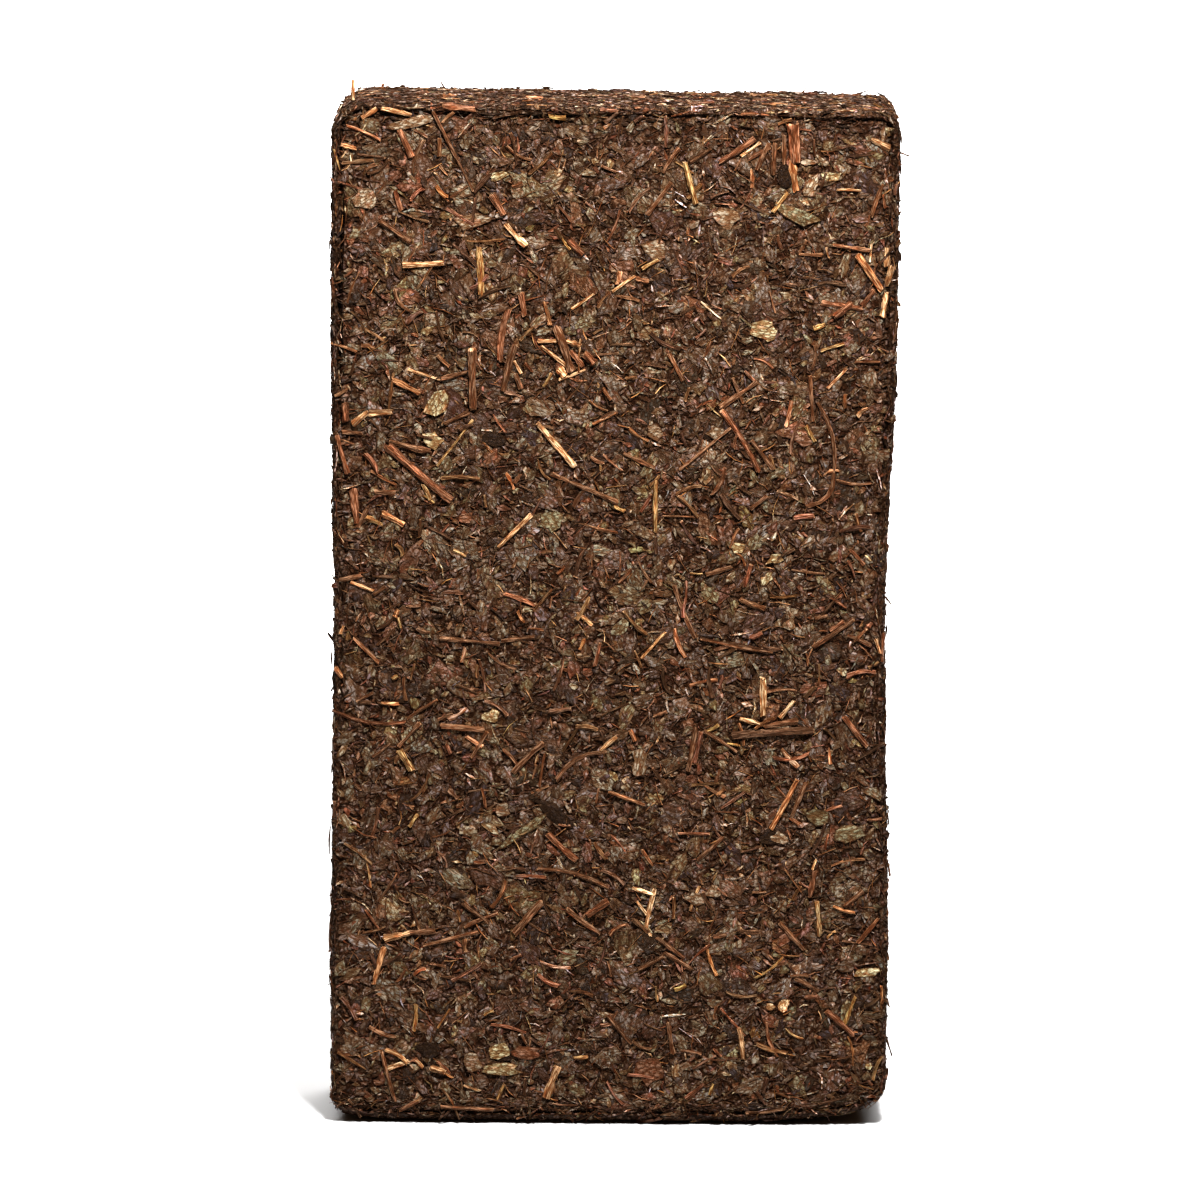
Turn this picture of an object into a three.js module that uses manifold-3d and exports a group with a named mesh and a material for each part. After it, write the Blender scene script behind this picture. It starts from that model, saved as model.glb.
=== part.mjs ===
// A pressed brick of dark tea, one solid that stands on its narrow end.
// Millimetres, +Z up. The shown broad face looks along -Y, and the origin is the middle of the foot.
import * as THREE from 'three';
import { mergeVertices } from 'three/addons/utils/BufferGeometryUtils.js';
import Module from 'manifold-3d';

// Driving dimensions of the pressed block
const WIDTH = 190;
const DEPTH = 50;
const HEIGHT = 350;

// Outline of the broad face: round corners, a top that leans to the right, sides that bow inward, a worn foot
const TOP_CORNER_RADII = { left: 13, right: 8 };
const FOOT_CORNER_RADII = { left: 8, right: 14 };
const TOP_SLOPE = { drop: 1.5, reach: 60 };
const RIGHT_BOW = 2.8;
const LEFT_BOW = 0.7;
const BOW_HEIGHT = 172;
const BOW_REACH = 112;
const RIGHT_WEAR = { reach: 49, lift: 5.5 };
const LEFT_WEAR = { reach: 24, lift: 2.5 };
const WEAR_HEIGHT = 40;
const WEAR_POWER = 1.6;

// Profiles, as pairs of distance from an edge and depth below the full block
const TOP_RIM_PROFILE = [[0, 1.8], [1, 0.5], [2.5, 0], [3.2, 2.2], [4, 0.7]];
const SIDE_RIM_PROFILE = [[0, 1.8], [1, 0.5], [2.5, 0], [3.2, 1.2], [4, 0.7]];
const FOOT_FACE_PROFILE = [[0, 1.8], [1.8, 0.5], [4.5, 0]];
const SIDE_PROFILE = [[0, 1.3], [1.5, 0]];
const FOOT_PROFILE = [[0, 3.8], [1.5, 2.2], [5, 0]];
const FOOT_REACH = 10;

// Lattice of the block's surface: close lines beside the edges, even ones between
const OUTLINE_LINES = [0, 1, 2.5, 3.2, 4, 9];
const FOOT_LINES = [0, 1.8, 4.5, 9.5];
const DEPTH_LINES = [0, 1.5, 5];
const FACE_SPACING = 12;
const SIDE_SPACING = 10;

// Relief of the pressed leaf
const FACET_RELIEF = 0.66;
const WAVE_RELIEF = 0.55;
const WAVE_LENGTH = 18;
const RIM_RELIEF_SHARE = 0.3;
const RIM_FADE = { from: 2, to: 8 };
const FACET_JITTER = 2.4;
const SIDE_RELIEF = 0.9;
const LAYER_LENGTH = 26;
const LAYER_THICKNESS = 5;
const PLACES_PER_MM = 4;
const SEED = 20261;

// Which of the seeded fields each kind of relief reads
const FIELD = { facets: 1, waves: 3, jitterX: 5, jitterZ: 7, layers: 9, top: 11 };

// Stems and leaf flakes that stand out of the surface
const STEM_SIDES = 5;
const STEM_SINK = 0.3;
const STEM_DEPTH = 1.5;
const STEM_TAPER = [0.8, 1];
const FLAKE_SIDES = 7;
const FLAKE_THICKNESS = 3.2;
const FLAKE_PROUD = 0.9;
const FLAKE_TAPER = 0.9;
const FLAKE_TILT = 0.12;
const PLACE_TRIES = 14;

// Places read off a picture of the broad face, in its pixels, and the size of one pixel
const PICTURE = { left: 332, right: 894, top: 107, foot: 1115 };
const PIXEL = HEIGHT / (PICTURE.foot - PICTURE.top);

// The largest stems of the broad face: picture x and y of both ends, and thickness in millimetres
const FRONT_STEMS = [
  [793, 124, 796, 161, 3.0], [792, 163, 797, 192, 2.2], [720, 162, 755, 138, 1.9],
  [685, 162, 696, 204, 1.7], [435, 125, 473, 191, 1.4], [506, 225, 526, 246, 1.9],
  [402, 265, 443, 263, 1.8], [479, 248, 481, 295, 2.0], [858, 255, 882, 289, 2.1],
  [545, 322, 578, 352, 2.2], [508, 318, 514, 352, 2.2], [472, 350, 473, 409, 2.2],
  [388, 446, 452, 501, 2.2], [537, 423, 574, 466, 1.8], [369, 414, 392, 412, 1.9],
  [551, 474, 618, 503, 1.7], [656, 480, 655, 532, 1.7], [722, 411, 743, 444, 1.7],
  [817, 402, 833, 434, 1.6], [833, 438, 834, 482, 1.6], [439, 638, 500, 644, 1.6],
  [674, 585, 695, 638, 1.5], [813, 647, 853, 620, 1.6], [702, 639, 771, 652, 1.6],
  [340, 713, 406, 722, 1.9], [441, 726, 483, 730, 1.8], [513, 773, 543, 743, 1.8],
  [763, 678, 763, 716, 2.1], [733, 736, 813, 731, 2.2], [797, 781, 771, 830, 1.9],
  [548, 834, 576, 860, 2.1], [537, 869, 608, 888, 1.6], [567, 910, 605, 938, 1.8],
  [514, 934, 542, 902, 2.1], [384, 939, 435, 931, 2.1], [655, 889, 646, 928, 1.6],
  [780, 923, 804, 950, 1.8], [739, 1028, 743, 1060, 1.9], [826, 1013, 853, 1035, 1.9],
  [558, 1067, 546, 1098, 2.3],
];

// Scattered stems and flakes, by face: how many, and the range of their sizes
const BACK_STEMS = { count: 30, length: [13, 27], thickness: [1.6, 2.4] };
const SIDE_STEMS = { count: 5, length: [12, 24], thickness: [1.6, 2.2] };
const TOP_STEMS = { count: 5, length: [11, 20], thickness: [1.6, 2.2] };
const FACE_FLAKES = { count: 11, length: [8, 14], breadth: [5, 8] };
const FACE_MARGIN = 14;
const SIDE_MARGIN = 9;
const ANY_LEAN = Math.PI / 2;
const LAYER_LEAN = 0.15;

const LOOK = { color: 0x5a402f, roughness: 0.85, metalness: 0 };

// Seeded numbers, from 0 to 1

function seededNumbers(seed) {
  let state = seed;
  return () => {
    state = (state + 0x6d2b79f5) | 0;
    let mixed = Math.imul(state ^ (state >>> 15), 1 | state);
    mixed = (mixed + Math.imul(mixed ^ (mixed >>> 7), 61 | mixed)) ^ mixed;
    return ((mixed ^ (mixed >>> 14)) >>> 0) / 4294967296;
  };
}

const draw = seededNumbers(SEED);

function drawBetween([low, high]) {
  return low + (high - low) * draw();
}

// A fixed number from -1 to 1 for each whole-number place
function placeNumber(i, j, k) {
  return 2 * seededNumbers(SEED + i * 7919 + j * 104729 + k * 15485863)() - 1;
}

// A smooth field between those numbers
function smoothField(u, v, layer) {
  const i = Math.floor(u);
  const j = Math.floor(v);
  const along = THREE.MathUtils.smoothstep(u - i, 0, 1);
  const across = THREE.MathUtils.smoothstep(v - j, 0, 1);
  const low = THREE.MathUtils.lerp(placeNumber(i, j, layer), placeNumber(i + 1, j, layer), along);
  const high = THREE.MathUtils.lerp(placeNumber(i, j + 1, layer), placeNumber(i + 1, j + 1, layer), along);
  return THREE.MathUtils.lerp(low, high, across);
}

// Depth of a profile at a distance, straight between its pairs
function depthAt(profile, distance) {
  for (let i = 1; i < profile.length; i += 1) {
    const [near, nearDepth] = profile[i - 1];
    const [far, farDepth] = profile[i];
    if (distance <= far) {
      return THREE.MathUtils.mapLinear(Math.max(distance, near), near, far, nearDepth, farDepth);
    }
  }
  return profile[profile.length - 1][1];
}

// Positions of lattice lines along one axis
function latticeLines(length, fromStart, fromEnd, spacing) {
  const first = fromStart[fromStart.length - 1];
  const last = length - fromEnd[fromEnd.length - 1];
  const steps = Math.round((last - first) / spacing);
  const between = Array.from({ length: steps - 1 }, (_, i) => first + ((i + 1) * (last - first)) / steps);
  const ending = fromEnd.map((distance) => length - distance).reverse();
  return [...fromStart, ...between, ...ending];
}

const LINES = {
  x: latticeLines(WIDTH, OUTLINE_LINES, OUTLINE_LINES, FACE_SPACING).map((x) => x - WIDTH / 2),
  y: latticeLines(DEPTH, DEPTH_LINES, DEPTH_LINES, SIDE_SPACING).map((y) => y - DEPTH / 2),
  z: latticeLines(HEIGHT, FOOT_LINES, OUTLINE_LINES, FACE_SPACING),
};

// How far a point of the plain block lies from its edges
function edgeDistances(point) {
  return {
    side: WIDTH / 2 - Math.abs(point.x),
    face: DEPTH / 2 - Math.abs(point.y),
    top: HEIGHT - point.z,
    foot: point.z,
  };
}

// A field has two sheets, so that opposite faces differ
function sheetOf(field, coordinate) {
  return coordinate < 0 ? field : field + 1;
}

// A fixed number from -1 to 1 for a lattice point of a broad face
function facetNumber(point, field) {
  const i = Math.round(point.x * PLACES_PER_MM);
  const j = Math.round(point.z * PLACES_PER_MM);
  return placeNumber(i, j, sheetOf(field, point.y));
}

// Relief of the pressed leaf on the broad faces: flake-sized facets over slow waves
function faceRelief(point, facets) {
  const waves = smoothField(point.x / WAVE_LENGTH, point.z / WAVE_LENGTH, sheetOf(FIELD.waves, point.y));
  return FACET_RELIEF * facets * facetNumber(point, FIELD.facets) + WAVE_RELIEF * waves;
}

// Hollows of the narrow sides, where the pressed leaf shows as thin layers
function layerHollow(along, across, field) {
  return SIDE_RELIEF * (1 - smoothField(along / LAYER_LENGTH, across / LAYER_THICKNESS, field));
}

// Round the outline's corners, each by its own radius
function roundCorner(point) {
  const radii = point.z > HEIGHT / 2 ? TOP_CORNER_RADII : FOOT_CORNER_RADII;
  const radius = point.x > 0 ? radii.right : radii.left;
  const centreX = THREE.MathUtils.clamp(point.x, radius - WIDTH / 2, WIDTH / 2 - radius);
  const centreZ = THREE.MathUtils.clamp(point.z, radius, HEIGHT - radius);
  const x = point.x - centreX;
  const z = point.z - centreZ;
  if (x === 0 || z === 0) {
    return;
  }
  const scale = Math.max(Math.abs(x), Math.abs(z)) / Math.hypot(x, z);
  point.x = centreX + x * scale;
  point.z = centreZ + z * scale;
}

// Lean the top down to the right, bow the sides inward and lift the worn ends of the foot
function wearOutline(point) {
  const nearTop = THREE.MathUtils.clamp(1 - (HEIGHT - point.z) / TOP_SLOPE.reach, 0, 1);
  const drop = TOP_SLOPE.drop * (point.x / WIDTH + 0.5) * nearTop;
  const reach = THREE.MathUtils.clamp((point.z - BOW_HEIGHT) / BOW_REACH, -1, 1);
  const bow = (point.x > 0 ? RIGHT_BOW : LEFT_BOW) * (0.5 + 0.5 * Math.cos(Math.PI * reach));
  const wear = point.x > 0 ? RIGHT_WEAR : LEFT_WEAR;
  const outward = Math.max(0, Math.abs(point.x) - (WIDTH / 2 - wear.reach)) / wear.reach;
  const fade = Math.max(0, 1 - point.z / WEAR_HEIGHT) ** 2;
  point.x *= 1 - bow / (WIDTH / 2);
  point.z += wear.lift * outward ** WEAR_POWER * fade - drop;
}

// Move a point of the plain block to its place on the pressed brick, with or without its facets
function pressedPoint(plain, facets) {
  const from = edgeDistances(plain);
  const point = plain.clone();
  const away = Math.min(from.side, from.top, from.foot);
  const settled = THREE.MathUtils.smoothstep(away, RIM_FADE.from, RIM_FADE.to);
  if (from.face === 0) {
    const profile = from.top < from.side ? TOP_RIM_PROFILE : SIDE_RIM_PROFILE;
    const rim = depthAt(profile, Math.min(from.side, from.top));
    const depth = rim + depthAt(FOOT_FACE_PROFILE, from.foot);
    const relief = faceRelief(plain, facets) * THREE.MathUtils.lerp(RIM_RELIEF_SHARE, 1, settled);
    point.y -= Math.sign(plain.y) * (depth - relief);
    point.x += FACET_JITTER * settled * facets * facetNumber(plain, FIELD.jitterX);
    point.z += FACET_JITTER * settled * facets * facetNumber(plain, FIELD.jitterZ);
  }
  if (from.side === 0) {
    const hollow = layerHollow(plain.z, plain.y, sheetOf(FIELD.layers, plain.x));
    point.x -= Math.sign(plain.x) * (hollow + depthAt(SIDE_PROFILE, from.face));
  }
  if (from.top === 0) {
    point.z -= layerHollow(plain.x, plain.y, FIELD.top) + depthAt(SIDE_PROFILE, from.face);
  }
  point.z += depthAt(FOOT_PROFILE, from.face) * Math.max(0, 1 - point.z / FOOT_REACH);
  roundCorner(point);
  wearOutline(point);
  return point;
}

// The pressed block itself, without its stems
function brickCore() {
  const steps = { x: LINES.x.length - 1, y: LINES.y.length - 1, z: LINES.z.length - 1 };
  const geometry = new THREE.BoxGeometry(1, 1, 1, steps.x, steps.y, steps.z);
  const position = geometry.attributes.position;
  const unit = new THREE.Vector3();
  for (let i = 0; i < position.count; i += 1) {
    unit.fromBufferAttribute(position, i).addScalar(0.5);
    const plain = new THREE.Vector3(
      LINES.x[Math.round(unit.x * steps.x)],
      LINES.y[Math.round(unit.y * steps.y)],
      LINES.z[Math.round(unit.z * steps.z)],
    );
    position.setXYZ(i, ...pressedPoint(plain, 1));
  }
  return geometry;
}

// The faces that carry stems: two directions along the face, and the one out of it
const X = new THREE.Vector3(1, 0, 0);
const Y = new THREE.Vector3(0, 1, 0);
const Z = new THREE.Vector3(0, 0, 1);

function opposite(axis) {
  return axis.clone().negate();
}

const FACES = {
  front: { across: X, up: Z, out: opposite(Y) },
  back: { across: opposite(X), up: Z, out: Y },
  right: { across: Y, up: Z, out: X },
  left: { across: opposite(Y), up: Z, out: opposite(X) },
  top: { across: Y, up: X, out: Z },
};

const MIDDLE = new THREE.Vector3(0, 0, HEIGHT / 2);
const HALF_SIZE = new THREE.Vector3(WIDTH / 2, DEPTH / 2, HEIGHT / 2);

// Half the block's size along one of its directions
function halfAlong(direction) {
  return Math.abs(direction.dot(HALF_SIZE));
}

// The point of the brick's surface at distances across and up from the face's middle
function facePoint(face, across, up) {
  const plain = MIDDLE.clone();
  plain.addScaledVector(face.out, halfAlong(face.out));
  plain.addScaledVector(face.across, across);
  plain.addScaledVector(face.up, up);
  return pressedPoint(plain, 0);
}

// A straight stem between two points of the surface, half sunk into it and deeper than it is thick
function stem(face, from, to, thickness) {
  const radius = thickness / 2;
  const start = facePoint(face, ...from).addScaledVector(face.out, -STEM_SINK);
  const end = facePoint(face, ...to).addScaledVector(face.out, -STEM_SINK);
  const axis = end.clone().sub(start);
  const endRadius = radius * drawBetween(STEM_TAPER);
  const geometry = new THREE.CylinderGeometry(endRadius, radius, axis.length(), STEM_SIDES);
  geometry.rotateY(draw() * Math.PI);
  geometry.scale(1, 1, STEM_DEPTH);
  axis.normalize();
  const beside = axis.clone().cross(face.out).normalize();
  const outward = beside.clone().cross(axis);
  const place = new THREE.Matrix4().makeBasis(beside, axis, outward);
  place.setPosition(start.add(end).multiplyScalar(0.5));
  geometry.applyMatrix4(place);
  return geometry;
}

// A flat leaf flake, tilted a little and pressed into a broad face
function flake(face, across, up, length, breadth) {
  const geometry = new THREE.CylinderGeometry(FLAKE_TAPER, 1, FLAKE_THICKNESS, FLAKE_SIDES);
  geometry.scale(breadth / 2, 1, length / 2);
  geometry.rotateY(draw() * Math.PI);
  geometry.rotateX(FLAKE_TILT * (2 * draw() - 1));
  geometry.rotateZ(FLAKE_TILT * (2 * draw() - 1));
  const turn = new THREE.Quaternion().setFromUnitVectors(new THREE.Vector3(0, 1, 0), face.out);
  geometry.applyQuaternion(turn);
  const centre = facePoint(face, across, up);
  centre.addScaledVector(face.out, FLAKE_PROUD - FLAKE_THICKNESS / 2);
  geometry.translate(...centre);
  return geometry;
}

// Places spread evenly over a face: of several draws, the one farthest from those before it
function spreadPlaces(face, count, margin, taken) {
  const width = halfAlong(face.across) - margin;
  const height = halfAlong(face.up) - margin;
  const places = [];
  for (let i = 0; i < count; i += 1) {
    let best = null;
    let bestRoom = -1;
    for (let tries = 0; tries < PLACE_TRIES; tries += 1) {
      const place = [drawBetween([-width, width]), drawBetween([-height, height])];
      const gaps = [...taken, ...places].map(([a, b]) => Math.hypot(a - place[0], b - place[1]));
      const room = Math.min(Infinity, ...gaps);
      if (room > bestRoom) {
        best = place;
        bestRoom = room;
      }
    }
    places.push(best);
  }
  return places;
}

// A place on the shown face from picture pixels
function picturePlace(x, y) {
  const across = (x - (PICTURE.left + PICTURE.right) / 2) * PIXEL;
  const up = ((PICTURE.top + PICTURE.foot) / 2 - y) * PIXEL;
  return [across, up];
}

function frontStems() {
  return FRONT_STEMS.map(([x0, y0, x1, y1, thickness]) =>
    stem(FACES.front, picturePlace(x0, y0), picturePlace(x1, y1), thickness));
}

// Stems strewn over a face, at any angle or within a lean of its upward direction
function strewnStems(face, kind, margin, lean) {
  return spreadPlaces(face, kind.count, margin, []).map(([across, up]) => {
    const half = drawBetween(kind.length) / 2;
    const angle = lean * (2 * draw() - 1);
    const run = [half * Math.sin(angle), half * Math.cos(angle)];
    const from = [across - run[0], up - run[1]];
    const to = [across + run[0], up + run[1]];
    return stem(face, from, to, drawBetween(kind.thickness));
  });
}

function strewnFlakes(face, taken) {
  return spreadPlaces(face, FACE_FLAKES.count, FACE_MARGIN, taken).map(([across, up]) =>
    flake(face, across, up, drawBetween(FACE_FLAKES.length), drawBetween(FACE_FLAKES.breadth)));
}

// Join closed geometries into one solid

const wasm = await Module();
wasm.setup();

function solidOf(geometry) {
  geometry.deleteAttribute('normal');
  geometry.deleteAttribute('uv');
  const merged = mergeVertices(geometry);
  const vertProperties = Float32Array.from(merged.attributes.position.array);
  const triVerts = Uint32Array.from(merged.index.array);
  return new wasm.Manifold(new wasm.Mesh({ numProp: 3, vertProperties, triVerts }));
}

function geometryOf(solid) {
  const { vertProperties, triVerts } = solid.getMesh();
  const geometry = new THREE.BufferGeometry();
  geometry.setAttribute('position', new THREE.BufferAttribute(vertProperties, 3));
  geometry.setIndex(new THREE.BufferAttribute(triVerts, 1));
  return geometry;
}

function brickGeometry() {
  const middles = FRONT_STEMS.map(([x0, y0, x1, y1]) => picturePlace((x0 + x1) / 2, (y0 + y1) / 2));
  const pieces = [
    ...frontStems(),
    ...strewnStems(FACES.back, BACK_STEMS, FACE_MARGIN, ANY_LEAN),
    ...strewnStems(FACES.right, SIDE_STEMS, SIDE_MARGIN, LAYER_LEAN),
    ...strewnStems(FACES.left, SIDE_STEMS, SIDE_MARGIN, LAYER_LEAN),
    ...strewnStems(FACES.top, TOP_STEMS, SIDE_MARGIN, LAYER_LEAN),
    ...strewnFlakes(FACES.front, middles),
    ...strewnFlakes(FACES.back, []),
  ];
  const joined = pieces.reduce((solid, piece) => solid.add(solidOf(piece)), solidOf(brickCore()));
  const geometry = geometryOf(joined);
  geometry.computeBoundingBox();
  const centre = geometry.boundingBox.getCenter(new THREE.Vector3());
  geometry.translate(-centre.x, -centre.y, -geometry.boundingBox.min.z);
  geometry.computeVertexNormals();
  return geometry;
}

const brick = new THREE.Mesh(brickGeometry(), new THREE.MeshStandardMaterial(LOOK));
brick.name = 'tea_brick';

const model = new THREE.Group();
model.add(brick);

export default model;
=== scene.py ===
import itertools
import math

import bpy
import numpy as np
from mathutils import Matrix, Vector


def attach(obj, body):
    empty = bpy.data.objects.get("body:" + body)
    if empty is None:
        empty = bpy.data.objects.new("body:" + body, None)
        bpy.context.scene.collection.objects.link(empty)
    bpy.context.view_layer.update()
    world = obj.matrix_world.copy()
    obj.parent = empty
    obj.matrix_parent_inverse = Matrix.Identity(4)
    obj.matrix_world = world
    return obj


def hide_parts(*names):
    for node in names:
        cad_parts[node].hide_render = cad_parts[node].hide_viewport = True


# A brick of pressed dark tea that stands on its narrow end.
# Sizes are in millimetres and become metres where a mesh, light or camera is made.

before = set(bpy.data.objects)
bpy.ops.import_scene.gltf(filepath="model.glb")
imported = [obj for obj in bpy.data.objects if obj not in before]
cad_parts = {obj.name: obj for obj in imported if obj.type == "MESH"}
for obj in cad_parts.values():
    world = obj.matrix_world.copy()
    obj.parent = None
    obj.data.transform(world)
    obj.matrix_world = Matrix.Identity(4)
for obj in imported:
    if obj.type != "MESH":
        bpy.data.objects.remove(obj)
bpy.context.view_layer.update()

MM = 0.001
NODE = "tea_brick"
BODY = "root"
SEED = 20261
MM_PER_CM = 10

# Digits after the point to which places count as the same
PLACE_DIGITS = 6
TOLERANCE = 10 ** -PLACE_DIGITS

# The pressed block, as the solid has it
WIDTH = 190
DEPTH = 50
HEIGHT = 350
HALF = np.array((WIDTH, DEPTH, HEIGHT)) / 2
MIDDLE = np.array((0, 0, HEIGHT / 2))
CORNER_RADII = {"top": {"left": 13, "right": 8}, "foot": {"left": 8, "right": 14}}
TOP_SLOPE = {"drop": 1.5, "reach": 60}
RIGHT_BOW = 2.8
LEFT_BOW = 0.7
BOW_HEIGHT = 172
BOW_REACH = 112
RIGHT_WEAR = {"reach": 49, "lift": 5.5}
LEFT_WEAR = {"reach": 24, "lift": 2.5}
WEAR_HEIGHT = 40
WEAR_POWER = 1.6
EDGE_ROUND = 3

# Profiles, as distances from an edge, or heights for the side grooves, and depths below the full block
RIM_WIDTH = 2.7
RIM_PROFILE = ((0, 1.0, 2.5, 4.0), (2.1, 0.6, 0, 0.7))
GROOVE_PROFILE = ((2.5, 3.5, 4.8), (0, 1, 0))
SWAY_PROFILE = ((0, RIM_WIDTH, 9), (0, 1, 0))
TOP_GROOVE = 0.9
SIDE_GROOVES = {"left": ((170, 240, 300), (0.4, 1.0, 2.6)), "right": ((200, 260, 330), (0.5, 1.2, 2.0))}
FOOT_FACE_PROFILE = ((0, 1.8, 4.5), (1.8, 0.5, 0))
SIDE_PROFILE = ((0, 1.5), (1.3, 0))
FOOT_PROFILE = ((0, 1.5, 5), (3.8, 2.2, 0))
FOOT_REACH = 10
SIDE_INSET = 0.9
FLOOR_GAP = 0.05

# Unevenness of the pressed surface, as smooth noise
NOISE_CELLS = 64
WAVES = {"height": 0.4, "length": 18, "seed": 1}
LUMPS = {"height": 0.2, "length": 7, "seed": 2}
LAYER_WAVES = ({"height": 0.45, "length": 30, "seed": 3}, {"height": 0.45, "length": (30, 4, 30), "seed": 4})
RIM_SWAY = {"height": 1.1, "length": 24, "seed": 6}
GROOVE_SPREAD = {"height": 0.8, "length": 22, "seed": 7}

# The photograph's frame and the view that it was taken from
FRAME_PIXELS = 1200
VIEW_PITCH = math.radians(11)
VIEW_ROLL = math.radians(0.43)
VIEW_DISTANCE = 2300
FRAME_WIDTH = 402.8
PIXEL = FRAME_WIDTH / FRAME_PIXELS
AIM = np.array((-4.2, -DEPTH / 2, 182.5))
SENSOR = 36

# Random numbers, noise and colours


def dice(*words):
    """A seeded generator of its own for each use."""
    return np.random.default_rng([SEED, *[sum(word.encode()) for word in words]])


def smooth_noise(points, noise):
    """Smooth numbers at each point, within the noise's height, with lumps about its length across."""
    table = np.random.default_rng([SEED, noise["seed"]]).uniform(-1, 1, (NOISE_CELLS,) * 3)
    place = points / np.asarray(noise["length"], float)
    base = np.floor(place).astype(int)
    part = place - base
    part = part * part * (3 - 2 * part)
    total = np.zeros(len(points))
    for corner in np.ndindex(2, 2, 2):
        weight = np.prod(np.where(corner, part, 1 - part), axis=1)
        i, j, k = ((base + corner) % NOISE_CELLS).T
        total += weight * table[i, j, k]
    return noise["height"] * total


def linear(colour):
    """A colour given as sRGB numbers from 0 to 255, as linear numbers from 0 to 1."""
    share = np.asarray(colour, float) / 255
    return np.where(share <= 0.04045, share / 12.92, ((share + 0.055) / 1.055) ** 2.4)


def between_sizes(sizes, count, rng):
    """Random sizes between two limits, with as many near each of them by ratio."""
    return sizes[0] * (sizes[1] / sizes[0]) ** rng.uniform(size=count)


# The surface of the brick

FACES = {
    "front": ((1, 0, 0), (0, 0, 1), (0, -1, 0)),
    "back": ((-1, 0, 0), (0, 0, 1), (0, 1, 0)),
    "right": ((0, 1, 0), (0, 0, 1), (1, 0, 0)),
    "left": ((0, -1, 0), (0, 0, 1), (-1, 0, 0)),
    "top": ((0, 1, 0), (1, 0, 0), (0, 0, 1)),
    "foot": ((0, 1, 0), (-1, 0, 0), (0, 0, -1)),
}
BROAD = ("front", "back")
LAYERED = ("right", "left", "top")
SHOWN = BROAD + LAYERED
DENSITY_SHARES = {"back": 0.8, "right": 0.8, "left": 0.8}


def face_half(face):
    """Half the face's size across and up, and half the block's size through it."""
    return [float(np.abs(np.dot(axis, HALF))) for axis in FACES[face]]


def on_block(face, u, v):
    """Points of the plain block at u across and v up from a face's middle, folded over its edges."""
    across, up, out = np.array(FACES[face], float)
    half_u, half_v, half_out = face_half(face)
    over = np.maximum(np.abs(u) - half_u, 0) + np.maximum(np.abs(v) - half_v, 0)
    u = np.clip(u, -half_u, half_u)
    v = np.clip(v, -half_v, half_v)
    return MIDDLE + u[:, None] * across + v[:, None] * up + (half_out - over)[:, None] * out


def round_corners(x, z):
    """The outline's corners, each rounded by its own radius."""
    radii = {end: np.where(x > 0, sides["right"], sides["left"]) for end, sides in CORNER_RADII.items()}
    radius = np.where(z > HEIGHT / 2, radii["top"], radii["foot"])
    centre_x = np.clip(x, radius - WIDTH / 2, WIDTH / 2 - radius)
    centre_z = np.clip(z, radius, HEIGHT - radius)
    from_x = x - centre_x
    from_z = z - centre_z
    longest = np.maximum(np.abs(from_x), np.abs(from_z))
    scale = longest / np.maximum(np.hypot(from_x, from_z), TOLERANCE)
    return centre_x + from_x * scale, centre_z + from_z * scale


def bow_share(x, z):
    """The share of its width that a side keeps where it bows inward."""
    reach = np.clip((z - BOW_HEIGHT) / BOW_REACH, -1, 1)
    bow = np.where(x > 0, RIGHT_BOW, LEFT_BOW) * (0.5 + 0.5 * np.cos(np.pi * reach))
    return 1 - bow / (WIDTH / 2)


def foot_lift(x, z):
    """How far the worn ends of the foot are lifted."""
    reach = np.where(x > 0, RIGHT_WEAR["reach"], LEFT_WEAR["reach"])
    lift = np.where(x > 0, RIGHT_WEAR["lift"], LEFT_WEAR["lift"])
    outward = np.maximum(0, np.abs(x) - (WIDTH / 2 - reach)) / reach
    return lift * outward ** WEAR_POWER * np.maximum(0, 1 - z / WEAR_HEIGHT) ** 2


def top_drop(x, z):
    """How far the top leans down to the right."""
    near_top = np.clip(1 - (HEIGHT - z) / TOP_SLOPE["reach"], 0, 1)
    return TOP_SLOPE["drop"] * (x / WIDTH + 0.5) * near_top


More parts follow.
